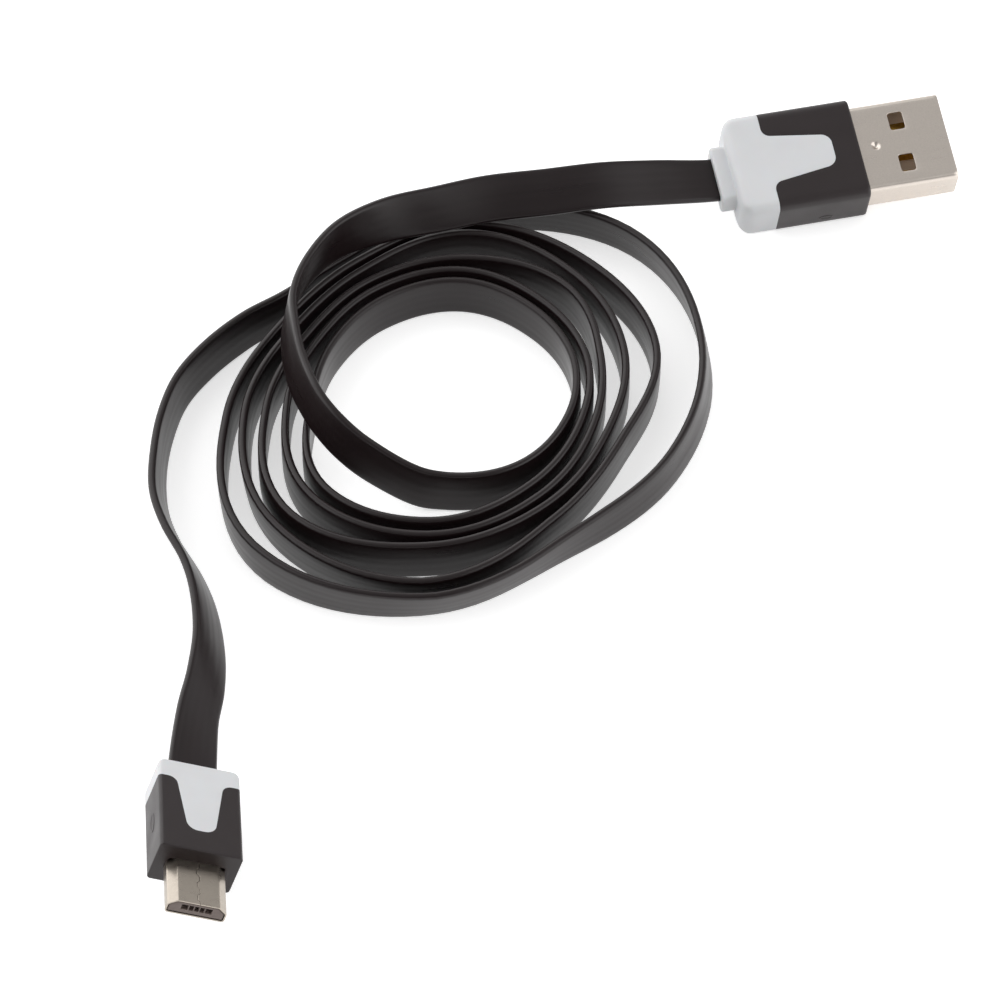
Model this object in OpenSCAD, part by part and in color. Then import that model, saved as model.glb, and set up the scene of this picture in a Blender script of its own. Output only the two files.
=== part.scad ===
// Flat charging cable, coiled for the shelf: a type A plug and a micro B plug on one flat cord.
// The cord lies as a loose spiral of six turns that stand on their edge. It comes over the
// back of the coil from the type A plug and leaves it on the left for the micro plug.
// Origin: on the surface it rests on, midway between the two plugs. +X is the way the
// type A plug goes in, +Z is up. Each plug is drawn in its own frame, with its origin in
// the middle of the moulding's front face, +X the way it goes in and +Z out of its top.

/* [Flat cord] */
// Width of the jacket
cord_w = 6.1; // [5.6:0.1:6.4]
// Thickness of the jacket
cord_t = 1.1; // [0.8:0.05:1.2]
// Rounding of the jacket's edges
cord_edge = 0.3; // [0.15:0.05:0.35]
// Diameter of one insulated core
core_d = 0.6; // [0.4:0.05:0.7]
// Distance between the cores in the jacket
core_pitch = 1.2; // [0.9:0.1:1.4]

/* [Coil] */
// Step from one turn to the next where they lie close
turn_step = 1.7; // [1.65:0.05:2]
// Height at which the cord crosses over the standing turns, at its lower edge
over_gap = 0.5; // [0.4:0.1:1.5]

/* [Type A shell] */
// Width of the shell
a_shell_w = 12; // [11.6:0.1:12.4]
// Thickness of the shell
a_shell_t = 4.5; // [4.2:0.1:4.8]
// Length of the shell outside the moulding
a_shell_l = 12; // [11:0.25:14]
// Length of the shell inside the moulding
a_shell_tail = 6.75; // [6:0.25:8]
// Thickness of the shell's sheet
a_sheet = 0.3; // [0.25:0.05:0.4]
// Bend radius of the shell's edges, outside
a_bend_r = 0.6; // [0.4:0.1:0.9]
// Length of a window
a_window_l = 2; // [1.6:0.1:2.4]
// Width of a window
a_window_w = 2.5; // [2:0.1:3]
// Distance from the shell's tip to a window
a_window_in = 5.2; // [4.5:0.1:6]
// Distance from the middle to a window's centre
a_window_off = 3.1; // [2.6:0.1:3.6]
// Diameter of the dimple
a_dimple_d = 1.3; // [1:0.1:1.6]
// Distance from the moulding to the dimple's centre
a_dimple_out = 2.3; // [1.5:0.1:3.2]

/* [Type A contacts] */
// Thickness of the insulator that carries the contacts
a_bar_t = 1.84; // [1.6:0.02:2]
// Distance from the shell's tip back to the insulator
a_bar_in = 0.6; // [0.4:0.1:1.2]
// Width of a contact
a_contact_w = 1; // [0.8:0.05:1.2]
// Thickness of a contact
a_contact_t = 0.25; // [0.2:0.05:0.35]
// Distance from the insulator's tip to the power contacts
a_power_in = 0.9; // [0.6:0.1:1.5]
// Distance from the insulator's tip to the data contacts
a_data_in = 1.9; // [1.6:0.1:2.6]
// Distance from the middle to an inner contact
a_inner_off = 1; // [0.9:0.05:1.1]
// Distance from the middle to an outer contact
a_outer_off = 3.5; // [3.3:0.05:3.7]

/* [Type A moulding] */
// Width of the moulding
a_body_w = 14.4; // [14:0.1:16]
// Thickness of the moulding
a_body_t = 7; // [6.6:0.1:8]
// Length of the moulding
a_body_l = 16.8; // [16:0.1:20]
// Rounding of its long edges
a_edge_r = 1.2; // [0.6:0.1:1.6]
// Rounding of its rear corners, seen from above
a_corner_r = 1.8; // [1:0.1:2.2]
// Length of the cover's closed front band
a_band_l = 3.1; // [2.5:0.1:4]
// Length of the cover along the plug's sides
a_cover_l = 11.8; // [9:0.1:12.5]
// Width of the collar's tongue at its tip
a_tongue_tip = 4.4; // [3.6:0.1:5]
// Width of the collar's tongue at its root
a_tongue_root = 7; // [6:0.1:8]
// Wall of the cover and the collar over the inner moulding, at the sides
a_skin_side = 0.7; // [0.5:0.05:0.8]
// Wall of the cover and the collar over the inner moulding, top and bottom
a_skin_top = 0.8; // [0.6:0.05:0.9]
// Width of the neck
a_neck_w = 8.4; // [8:0.1:10]
// Thickness of the neck
a_neck_t = 3.4; // [3:0.1:4]
// Length of the neck
a_neck_l = 1.9; // [1:0.1:3]

/* [Micro shell] */
// Width of the shell
m_shell_w = 6.85; // [6.6:0.05:7]
// Thickness of the shell
m_shell_t = 1.85; // [1.75:0.05:2]
// Length of the shell outside the moulding
m_shell_l = 6.8; // [6:0.1:7.4]
// Length of the shell inside the moulding
m_shell_tail = 4; // [3:0.1:4.5]
// Thickness of the shell's sheet
m_sheet = 0.25; // [0.2:0.05:0.3]
// Size of the chamfers along the shell's narrow side
m_chamfer = 0.65; // [0.4:0.05:0.75]

/* [Micro contacts and latches] */
// Width of the insulator between the latches
m_bar_w = 3.9; // [3.6:0.05:4]
// Thickness of the insulator under the contacts
m_bar_t = 0.5; // [0.45:0.01:0.55]
// Distance from the shell's tip back to the insulator
m_bar_in = 0.5; // [0.3:0.1:1]
// Distance between the contacts
m_pitch = 0.65; // [0.6:0.01:0.7]
// Width of a contact
m_contact_w = 0.35; // [0.25:0.05:0.4]
// Thickness of a contact
m_contact_t = 0.12; // [0.1:0.01:0.15]
// Distance from the middle to a latch
m_latch_off = 2.45; // [2.4:0.01:2.55]
// Width of a latch arm
m_latch_w = 0.45; // [0.35:0.05:0.5]
// Thickness of a latch arm
m_latch_t = 0.2; // [0.15:0.01:0.22]
// Distance from the moulding to the front of a latch's hook
m_hook_out = 5; // [4.4:0.1:5.2]
// Length of a hook
m_hook_l = 0.7; // [0.5:0.05:0.9]
// Height of a hook outside the shell
m_hook_h = 0.32; // [0.2:0.02:0.4]

/* [Micro moulding] */
// Width of the moulding
m_body_w = 10.1; // [9.6:0.1:11]
// Thickness of the moulding
m_body_t = 5.95; // [5.6:0.05:6.6]
// Length of the moulding
m_body_l = 13.8; // [13:0.1:16]
// Rounding of its long edges
m_edge_r = 1; // [0.5:0.1:1.3]
// Rounding of its rear corners, seen from above
m_corner_r = 1.6; // [1:0.1:2]
// Length of the cover's closed front band
m_band_l = 3.3; // [2.5:0.1:4]
// Length of the cover along the plug's sides
m_cover_l = 11.6; // [9:0.1:12]
// Width of the collar's tongue at its tip
m_tongue_tip = 3.6; // [3:0.1:4]
// Width of the collar's tongue at its root
m_tongue_root = 5.4; // [4.8:0.1:6]
// Wall of the cover and the collar over the inner moulding, at the sides
m_skin_side = 0.8; // [0.6:0.05:1]
// Wall of the cover and the collar over the inner moulding, top and bottom
m_skin_top = 0.8; // [0.6:0.05:1]
// Width of the neck
m_neck_w = 7.6; // [7.2:0.1:8]
// Thickness of the neck
m_neck_t = 2.6; // [2.2:0.1:3]
// Length of the neck
m_neck_l = 0.9; // [0.5:0.1:2]

/* [Hidden] */

/* Places of the plugs: the middle of the moulding's front face, then roll, pitch and yaw */
a_at = [49.4, 47.45, 5.065];
a_turn = [16, 0, 0];
m_at = [-56, -47.7, 6.15];
m_turn = [-20, -8.5, -98.5];

/* Clearances */
clear = 0.05;       // round a core, a contact or the jacket inside a moulding
latch_gap = 0.1;    // round a latch's arm and hook
seam = 0.1;         // open width of a shell's folded seam
core_end = 0.1;     // from a core's end to the jacket
arc_steps = 6;      // facets of a rounded corner in an outline
far = 1;            // overshoot of a cut
lap = 0.2;          // overlap of two shapes of one piece

/* Inside and round the mouldings */
a_jacket_in = 3.3;      // length of jacket inside the type A moulding
m_jacket_in = 2.8;      // the same in the micro moulding
neck_out = 0.5;         // straight length of cord behind a neck
neck_edge = 0.8;        // rounding of a neck's long edges
m_core_pitch = 0.72;    // distance between the cores' ends behind the micro contacts
a_contact_out = 1.5;    // length of a contact behind the shell, type A
m_contact_out = 0.8;    // the same in the micro plug
a_proud = 0.05;         // height of a contact above its insulator, type A
m_proud = 0.03;         // the same in the micro plug
end_skin = 0.4;         // extra wall of the cover and the collar at the front and rear
inner_r = 0.5;          // rounding of the inner moulding's long edges
a_plug_in = 0.5;        // distance from the moulding's face back to the insulator's full height
tongue_r = [1, 1.2];    // rounding of the tongue's root and of its tip
dent = 0.2;             // depth of the dimple
m_bend_r = 0.3;         // bend radius of the micro shell's edges, outside
m_contact_in = 0.5;     // distance from the insulator's tip to the micro contacts
hook_bevel = 0.1;       // bevel of a hook's lower corner

/* Colours */
white = [0.86, 0.87, 0.88];
black = [0.13, 0.12, 0.12];
steel = [0.72, 0.69, 0.66];
gold = [0.85, 0.68, 0.32];
natural = [0.82, 0.82, 0.78];
core_colours = ["firebrick", "gainsboro", "seagreen", "dimgray"];

/* Coil: the turns run counter-clockwise from the left, innermost first. The reach of the
   middle of the cord is set in ten directions, 36 degrees apart, starting at the left. */
coil_centre = [-11, 20.5];
directions = 10;
turns = 6;
// Reach of the first turn
first_reach = [15.5, 15.5, 16, 16.7, 16.2, 16.1, 16.2, 17, 16.3, 16.1];
// Extra room between each turn and the next one, beyond their close step
room = [
    [0.6, 6.1, 5.5, 1.6, 0, 0, 0, 0.2, 0.2, 0.2],
    [1.4, 0.5, 0.5, 0.4, 0, 0.1, 2.4, 0.5, 0, 0],
    [1, 2.1, 0.1, 0, 0.3, 1.4, 0.5, 2.6, 0.3, 0.2],
    [0.8, 0.5, 3.2, 0.4, 0.3, 2.4, 1.1, 0, 0, 0.1],
    [0.7, 2.6, 0.5, 1.3, 5.1, 4.7, 6.5, 1.8, 0.4, 0.9]
];
// Lean of the cord, top inwards, by degrees from the left of the first turn
lean_at = [
    [0, 10], [36, 10], [180, 0], [1300, 0], [1440, -5], [1476, -7], [1512, -14], [1545, -4],
    [1650, 0], [1840, -4], [1875, -19], [1895, -17], [1920, -3], [1970, 10]
];
coil_from = 75;     // where the type A lead comes down into the first turn
coil_to = 2100;     // where the last turn leaves for the micro plug
ring_step = 15;     // 24 rings to a turn

/* Routes of the free stretches, hand-placed: x, y, z of the middle and the turn of the
   cord's width about its run, 0 flat and 90 standing on its edge */
over = cord_w + over_gap + cord_w / 2;
a_route = [
    [22.5, 46.9, 7, 27], [15, 46.5, 8.6, 34], [7.5, 46.7, 8.8, 40], [0, 47, 9, 45],
    [-7, 46.4, 9.2, 52], [-14, 45.7, 9.5, 66], [-20.5, 43.5, over + 0.1, 84],
    [-25.5, 39, over + 0.3, 95], [-28.5, 34, over + 0.3, 99], [-29.7, 29, over + 0.15, 106],
    [-30, 23, over + 0.05, 108], [-29.3, 17.6, over, 106], [-27.9, 13.9, 8.95, 104],
    [-25.5, 10.9, 7.2, 102], [-22.2, 8.4, 5.2, 101], [-18.4, 6, 3.7, 100]
];
m_route = [
    [-28.7, 39.2, 3.1, 88], [-34.2, 36.6, 3.1, 83], [-39.5, 33, 3.1, 82], [-44, 28.5, 3.1, 82],
    [-47, 23, 3.1, 81], [-49, 17, 3.1, 80], [-50, 11, 3.1, 75], [-49.5, 5.5, 3.1, 72],
    [-48, -0.5, 3.1, 69], [-47.5, -6, 3.2, 64], [-48, -12.5, 3.2, 57],
    [-49.5, -18.5, 3.3, 47], [-51.5, -24, 3.5, 40]
];
route_rings = 2;    // rings to a stretch between two points of a route

// ---------------------------------------------------------------- vectors and outlines
function unit(v) = v / norm(v);
function turn_x(v, a) = [v.x, v.y * cos(a) - v.z * sin(a), v.y * sin(a) + v.z * cos(a)];
function turn_y(v, a) = [v.x * cos(a) + v.z * sin(a), v.y, v.z * cos(a) - v.x * sin(a)];
function turn_z(v, a) = [v.x * cos(a) - v.y * sin(a), v.x * sin(a) + v.y * cos(a), v.z];
// A point of a plug's own frame, as it lies
function placed(v, at, turn) = at + turn_z(turn_y(turn_x(v, turn.x), turn.y), turn.z);

// The curve through b and c, between a and d
function blend(a, b, c, d, u) =
    0.5 * (2 * b + (c - a) * u + (2 * a - 5 * b + 4 * c - d) * u * u
    + (3 * b - a - 3 * c + d) * u * u * u);

// The arc that rounds corner c, between its neighbours p and q
function corner_arc(p, c, q, r) =
    r <= 0 ? [c] :
    let (
        u = unit(p - c), v = unit(q - c), half = acos(u * v) / 2,
        m = c + unit(u + v) * r / sin(half),
        s = c + u * r / tan(half) - m, e = c + v * r / tan(half) - m,
        a = atan2(s.y, s.x), b = atan2(e.y, e.x) - a,
        sweep = b > 180 ? b - 360 : b < -180 ? b + 360 : b
    )
    [for (k = [0 : arc_steps]) m + r * [cos(a + sweep * k / arc_steps), sin(a + sweep * k / arc_steps)]];

// An outline with each corner rounded by its own radius
function rounded(corners, radii) =
    let (n = len(corners))
    [for (i = [0 : n - 1])
        each corner_arc(corners[(i + n - 1) % n], corners[i], corners[(i + 1) % n], radii[i])];

function rounded_box(w, h, r) =
    rounded([[-w / 2, -h / 2], [w / 2, -h / 2], [w / 2, h / 2], [-w / 2, h / 2]], [r, r, r, r]);

// A shape of the Y-Z plane, drawn from x0 to x1
module along_x(x0, x1) {
    translate([x0, 0, 0]) rotate([90, 0, 90]) linear_extrude(x1 - x0) children();
}

// A shape of the X-Y plane, through the whole thickness
module through_z(t) {
    translate([0, 0, -t / 2]) linear_extrude(t) children();
}

// A shape of the X-Z plane, through the whole width
module through_y(w) {
    translate([0, w / 2, 0]) rotate([90, 0, 0]) linear_extrude(w) children();
}

// A round rod from p to q
module rod(p, q, d) {
    run = q - p;
    translate(p) rotate([0, acos(run.z / norm(run)), atan2(run.y, run.x)])
        cylinder(h = norm(run), d = d, $fn = 24);
}

// ---------------------------------------------------------------- the cord
// Reach of control k, counted along the spiral
function reach(k) =
    let (i = max(0, min(k, directions * turns - 1)), t = floor(i / directions), d = i % directions)
    first_reach[d] + t * turn_step
        + (t == 0 ? 0 : [for (j = [0 : t - 1]) 1] * [for (j = [0 : t - 1]) room[j][d]]);

function lean(deg) = lookup(deg, lean_at);

// A point of the coil: its place and the turn of the cord's width
function coil_point(deg) =
    let (
        s = deg * directions / 360, k = floor(s), u = s - k,
        r = blend(reach(k - 1), reach(k), reach(k + 1), reach(k + 2), u)
    )
    [
        coil_centre.x + r * cos(180 + deg), coil_centre.y + r * sin(180 + deg),
        cord_w / 2 * cos(lean(deg)), 90 + lean(deg)
    ];

// Points along a route, through its own points, from the second one to the last but one
function route_points(p) =
    [for (i = [1 : len(p) - 3]) for (j = [0 : route_rings - 1])
        blend(p[i - 1], p[i], p[i + 1], p[i + 2], j / route_rings)];

coil_points = [for (deg = [coil_from : ring_step : coil_to]) coil_point(deg)];
coil_last = len(coil_points) - 1;

// Where the jacket ends inside each moulding, and where it leaves the neck
function jacket_end(x, at, turn, facing) = [each placed([x, 0, 0], at, turn), facing];
a_jacket_x = a_jacket_in - a_body_l;
m_jacket_x = m_jacket_in - m_body_l;
a_inside = jacket_end(a_jacket_x, a_at, a_turn, a_turn.x);
a_exit = jacket_end(-a_body_l - a_neck_l - neck_out, a_at, a_turn, a_turn.x);
m_inside = jacket_end(m_jacket_x, m_at, m_turn, -m_turn.x);
m_exit = jacket_end(-m_body_l - m_neck_l - neck_out, m_at, m_turn, -m_turn.x);

a_points = [a_inside, each route_points([a_inside, a_exit, each a_route, coil_points[0], coil_points[1]])];
m_points = [
    each route_points([
        coil_points[coil_last - 1], coil_points[coil_last], each m_route, m_exit, m_inside]),
    m_exit, m_inside
];
way = [each a_points, each coil_points, each [for (i = [1 : len(m_points) - 1]) m_points[i]]];
way_last = len(way) - 1;
coil_start = len(a_points);
coil_end = coil_start + coil_last;

function place_of(i) = [way[i].x, way[i].y, way[i].z];
function ahead(i) = unit(place_of(min(i + 1, way_last)) - place_of(max(i - 1, 0)));
// Directions of the cord at a ring: along, across its width, through its thickness
function axes_of(i) =
    let (d = ahead(i), side = unit([d.y, -d.x, 0]), up = cross(side, d), a = way[i][3])
    [d, side * cos(a) + up * sin(a), up * cos(a) - side * sin(a)];

// Sections of the cord: eight corners on the leads, six on the coil
lead_section = [for (s = [1, -1]) each [
    [s * cord_w / 2, s * (cord_edge - cord_t / 2)], [s * cord_w / 2, s * (cord_t / 2 - cord_edge)],
    [s * (cord_w / 2 - cord_edge), s * cord_t / 2], [-s * (cord_w / 2 - cord_edge), s * cord_t / 2]
]];
coil_section = [for (s = [1, -1]) each [
    [s * cord_w / 2, 0],
    [s * (cord_w / 2 - cord_edge), s * cord_t / 2], [-s * (cord_w / 2 - cord_edge), s * cord_t / 2]
]];
function ring(i, section) =
    let (a = axes_of(i)) [for (p = section) place_of(i) + p.x * a[1] + p.y * a[2]];

// One tube through the rings from first to last
module cord(first, last, section) {
    n = len(section);
    rings = last - first;
    points = [for (i = [first : last]) each ring(i, section)];
    sides = [for (i = [0 : rings - 1]) for (j = [0 : n - 1])
        let (a = i * n + j, b = i * n + (j + 1) % n) each [[a, b, a + n], [b, b + n, a + n]]];
    near_cap = [for (j = [1 : n - 2]) [0, j + 1, j]];
    far_cap = [for (j = [1 : n - 2]) [rings * n, rings * n + j, rings * n + j + 1]];
    color(black) polyhedron(points = points, faces = [each sides, each near_cap, each far_cap]);
}

// Least gap between the coil's own turns, and between the leads and the coil, on the rings' points
function face_gap(p, i) =
    let (v = p - place_of(i), a = axes_of(i))
    abs(v * a[1]) < cord_w / 2 && abs(v * a[0]) < cord_w / 2 ? abs(v * a[2]) - cord_t / 2 : 99;
turn_gap = min([for (i = [coil_start : coil_end - 21]) for (j = [i + 21 : min(i + 27, coil_end)])
    for (p = ring(i, coil_section)) face_gap(p, j)]);
function point_gap(i, j) =
    min([for (p = ring(i, lead_section)) for (q = ring(j, coil_section)) norm(p - q)]);
over_turns = min([for (i = [2 : coil_start - 3]) for (j = [coil_start + 6 : coil_end]) point_gap(i, j)]);
echo(least_gap_between_turns = turn_gap, least_gap_of_the_lead_to_the_turns = over_turns);
echo(cord_rings_on_the_leads = coil_start + 1 + way_last - coil_end + 1, rings_on_the_coil = coil_last + 1);

module type_a_lead() { cord(0, coil_start, lead_section); }
module coil() { cord(coil_start, coil_end, coil_section); }
module micro_lead() { cord(coil_end, way_last, lead_section); }

// ---------------------------------------------------------------- mouldings, for both plugs
// The outside of a moulding
module body(l, w, t, edge, corner) {
    intersection() {
        along_x(-l, 0) polygon(rounded_box(w, t, edge));
        through_z(t) polygon(rounded(
            [[0, -w / 2], [0, w / 2], [-l, w / 2], [-l, -w / 2]], [edge / 3, edge / 3, corner, corner]));
        through_y(w) polygon(rounded(
            [[0, -t / 2], [0, t / 2], [-l, t / 2], [-l, -t / 2]], [edge / 3, edge / 3, edge, edge]));
    }
}

// What the cover takes of it: a closed band at the front and a prong along each side
module cover_zone(l, w, t, band, tip, root) {
    through_z(t + far) polygon(rounded(
        [
            [far, -w / 2 - far], [far, w / 2 + far], [-l, w / 2 + far], [-l, root / 2],
            [-band, tip / 2], [-band, -tip / 2], [-l, -root / 2], [-l, -w / 2 - far]
        ],
        [0, 0, 0, tongue_r[0], tongue_r[1], tongue_r[1], tongue_r[0], 0]));
}

// The block inside the cover and the collar
module inner_block(l, w, t, side, top) {
    along_x(top + end_skin - l, -top - end_skin) polygon(rounded_box(w - 2 * side, t - 2 * top, inner_r));
}

// The slot that the jacket lies in, up to where it ends
module jacket_slot(x0, x1) {
    along_x(x0, x1) square([cord_w + 2 * clear, cord_t + 2 * clear], center = true);
}

// ---------------------------------------------------------------- type A plug
module at_type_a() { translate(a_at) rotate(a_turn) children(); }

a_tip = a_shell_l;
a_floor = -a_shell_t / 2 + a_sheet;             // inside of the shell's lower wall
a_bar_top = a_floor + a_bar_t;
a_contact_z = a_bar_top - a_contact_t + a_proud;    // underside of a contact, in its groove
a_contact_back = -a_shell_tail - a_contact_out;
a_contact_y = [-a_outer_off, -a_inner_off, a_inner_off, a_outer_off];
a_bar_tip = a_tip - a_bar_in;
a_contact_tip = [
    a_bar_tip - a_power_in, a_bar_tip - a_data_in, a_bar_tip - a_data_in, a_bar_tip - a_power_in
];

module a_shell_outline(inset) {
    polygon(rounded_box(a_shell_w - 2 * inset, a_shell_t - 2 * inset, a_bend_r - inset));
}

module type_a_shell() {
    window_x = a_tip - a_window_in - a_window_l / 2;
    color(steel) at_type_a() {
        difference() {
            union() {
                difference() {
                    along_x(-a_shell_tail, a_tip) a_shell_outline(0);
                    along_x(-a_shell_tail - far, a_tip + far) a_shell_outline(a_sheet);
                }
                translate([a_dimple_out, 0, a_shell_t / 2 - a_sheet - dent])
                    cylinder(h = a_sheet, d1 = a_dimple_d - 2 * dent, d2 = a_dimple_d, $fn = 32);
            }
            for (y = [-a_window_off, a_window_off])
                translate([window_x, y, 0])
                    cube([a_window_l, a_window_w, a_shell_t + far], center = true);
            translate([-a_shell_tail - far, -seam / 2, -a_shell_t / 2 - far])
                cube([a_shell_tail + a_tip + 2 * far, seam, a_sheet + far + lap]);
            translate([a_dimple_out, 0, a_shell_t / 2 - dent])
                cylinder(h = far, d1 = a_dimple_d - 2 * dent, d2 = a_dimple_d + 2 * far - 2 * dent,
                    $fn = 32);
        }
    }
}

module a_contact_bar(i, grow) {
    translate([a_contact_back - grow, a_contact_y[i] - a_contact_w / 2 - grow, a_contact_z - grow])
        cube([
            a_contact_tip[i] - a_contact_back + 2 * grow, a_contact_w + 2 * grow, a_contact_t + 2 * grow]);
}

module type_a_insulator() {
    inside_w = a_shell_w - 2 * a_sheet;
    color(black) at_type_a() difference() {
        intersection() {
            along_x(-a_shell_tail, a_bar_tip) a_shell_outline(a_sheet);
            union() {
                translate([-a_shell_tail, -inside_w / 2, a_floor])
                    cube([a_shell_tail + a_bar_tip, inside_w, a_bar_t]);
                translate([-a_shell_tail, -inside_w / 2, a_floor])
                    cube([a_shell_tail - a_plug_in, inside_w, a_shell_t]);
            }
        }
        for (i = [0 : 3]) a_contact_bar(i, 0);
    }
}

module type_a_contact(i) { color(gold) at_type_a() a_contact_bar(i - 1, 0); }

// A core runs from the jacket's end to the back of its contact
function a_core_from(i) = [a_jacket_x, (i - 1.5) * core_pitch, 0];
function a_core_to(i) = [a_contact_back - core_end, a_contact_y[i], a_contact_z + a_contact_t / 2];
module type_a_core(i) {
    color(core_colours[i - 1]) at_type_a()
        rod(a_core_from(i - 1) + [core_end, 0, 0], a_core_to(i - 1), core_d);
}

module type_a_inner_mould() {
    color(natural) at_type_a() difference() {
        inner_block(a_body_l, a_body_w, a_body_t, a_skin_side, a_skin_top);
        along_x(-a_shell_tail, far) a_shell_outline(0);
        jacket_slot(-a_body_l, a_jacket_x);
        for (i = [0 : 3]) {
            a_contact_bar(i, clear);
            rod(a_core_from(i) - [core_end, 0, 0], a_core_to(i) + [core_end, 0, 0], core_d + 2 * clear);
        }
    }
}

module a_body() { body(a_body_l, a_body_w, a_body_t, a_edge_r, a_corner_r); }
module a_cover_zone() {
    cover_zone(a_cover_l, a_body_w, a_body_t, a_band_l, a_tongue_tip, a_tongue_root);
}

module type_a_cover() {
    color(black) at_type_a() difference() {
        intersection() {
            a_body();
            a_cover_zone();
        }
        inner_block(a_body_l, a_body_w, a_body_t, a_skin_side, a_skin_top);
        along_x(-a_shell_tail, far) a_shell_outline(0);
    }
}

module type_a_collar() {
    color(white) at_type_a() difference() {
        union() {
            difference() {
                a_body();
                a_cover_zone();
            }
            along_x(-a_body_l - a_neck_l, lap - a_body_l) polygon(rounded_box(a_neck_w, a_neck_t, neck_edge));
        }
        inner_block(a_body_l, a_body_w, a_body_t, a_skin_side, a_skin_top);
        jacket_slot(-a_body_l - a_neck_l - far, a_jacket_x);
    }
}

// ---------------------------------------------------------------- micro plug
module at_micro() { translate(m_at) rotate(m_turn) children(); }

m_tip = m_shell_l;
m_floor = -m_shell_t / 2 + m_sheet;
m_bar_top = m_floor + m_bar_t;
m_contact_z = m_bar_top - m_contact_t + m_proud;
m_contact_back = -m_shell_tail - m_contact_out;
m_bar_tip = m_tip - m_bar_in;
m_latch_back = 0.4;                     // the latch arms' root
m_latch_z = m_floor + latch_gap / 2;    // underside of a latch arm

// The shell's outline, wide side down; a 45 degree chamfer moves by tan(22.5) of an inset
module m_shell_outline(inset) {
    w = m_shell_w / 2 - inset;
    t = m_shell_t / 2 - inset;
    c = m_chamfer - inset * (2 - sqrt(2));
    r = m_bend_r - inset;
    polygon(rounded(
        [[-w, -t], [w, -t], [w, t - c], [w - c, t], [c - w, t], [-w, t - c]], [r, r, r, r, r, r]));
}

module hook_slot(side) {
    translate([
        m_hook_out - m_hook_l - 2 * latch_gap, side * m_latch_off - m_latch_w / 2 - latch_gap, -m_shell_t])
        cube([m_hook_l + latch_gap * 3, m_latch_w + 2 * latch_gap, m_shell_t]);
}

module micro_shell() {
    color(steel) at_micro() difference() {
        along_x(-m_shell_tail, m_tip) m_shell_outline(0);
        along_x(-m_shell_tail - far, m_tip + far) m_shell_outline(m_sheet);
        translate([-m_shell_tail - far, -seam / 2, 0])
            cube([m_shell_tail + m_tip + 2 * far, seam, m_shell_t]);
        for (side = [-1, 1]) hook_slot(side);
    }
}

module m_contact_bar(i, grow) {
    translate([m_contact_back - grow, (i - 2) * m_pitch - m_contact_w / 2 - grow, m_contact_z - grow])
        cube([
            m_bar_tip - m_contact_in - m_contact_back + 2 * grow,
            m_contact_w + 2 * grow, m_contact_t + 2 * grow]);
}

module micro_insulator() {
    color(black) at_micro() difference() {
        intersection() {
            along_x(-m_shell_tail, m_bar_tip) m_shell_outline(m_sheet);
            union() {
                translate([-m_shell_tail, -m_bar_w / 2, m_floor])
                    cube([m_shell_tail + m_bar_tip, m_bar_w, m_bar_t]);
                translate([-m_shell_tail, -m_shell_w / 2, m_floor])
                    cube([m_shell_tail + m_latch_back - latch_gap, m_shell_w, m_shell_t]);
            }
        }
        for (i = [0 : 4]) m_contact_bar(i, 0);
    }
}

module micro_contact(i) { color(gold) at_micro() m_contact_bar(i - 1, 0); }

// A spring arm along the shell's floor, with a hook that stands out through the wall
module micro_latch(side) {
    hook_low = -m_shell_t / 2 - m_hook_h;
    hook_back = m_hook_out - m_hook_l;
    color(steel) at_micro() translate([0, side * m_latch_off, 0]) through_y(m_latch_w)
        polygon([
            [m_latch_back, m_latch_z], [hook_back, m_latch_z], [hook_back, hook_low + hook_bevel],
            [hook_back + hook_bevel, hook_low], [m_hook_out - m_hook_l / 2, hook_low],
            [m_hook_out, m_latch_z], [m_hook_out, m_latch_z + m_latch_t],
            [m_latch_back, m_latch_z + m_latch_t]
        ]);
}

function m_core_from(i) = [m_jacket_x, (i - 1.5) * core_pitch, 0];
function m_core_to(i) =
    [m_contact_back - 3 * core_end, (i - 1.5) * m_core_pitch, m_contact_z + m_contact_t / 2];
module micro_core(i) {
    color(core_colours[i - 1]) at_micro()
        rod(m_core_from(i - 1) + [core_end, 0, 0], m_core_to(i - 1), core_d);
}

module micro_inner_mould() {
    color(natural) at_micro() difference() {
        inner_block(m_body_l, m_body_w, m_body_t, m_skin_side, m_skin_top);
        along_x(-m_shell_tail, far) m_shell_outline(0);
        jacket_slot(-m_body_l, m_jacket_x);
        for (i = [0 : 4]) m_contact_bar(i, clear);
        for (i = [0 : 3])
            rod(m_core_from(i) - [core_end, 0, 0], m_core_to(i) + [2 * core_end, 0, 0],
                core_d + 2 * clear);
    }
}

module m_body() { body(m_body_l, m_body_w, m_body_t, m_edge_r, m_corner_r); }
module m_cover_zone() {
    cover_zone(m_cover_l, m_body_w, m_body_t, m_band_l, m_tongue_tip, m_tongue_root);
}

module micro_cover() {
    color(black) at_micro() difference() {
        intersection() {
            m_body();
            m_cover_zone();
        }
        inner_block(m_body_l, m_body_w, m_body_t, m_skin_side, m_skin_top);
        along_x(-m_shell_tail, far) m_shell_outline(0);
    }
}

module micro_collar() {
    color(white) at_micro() difference() {
        union() {
            difference() {
                m_body();
                m_cover_zone();
            }
            along_x(-m_body_l - m_neck_l, lap - m_body_l) polygon(rounded_box(m_neck_w, m_neck_t, neck_edge));
        }
        inner_block(m_body_l, m_body_w, m_body_t, m_skin_side, m_skin_top);
        jacket_slot(-m_body_l - m_neck_l - far, m_jacket_x);
    }
}

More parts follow.
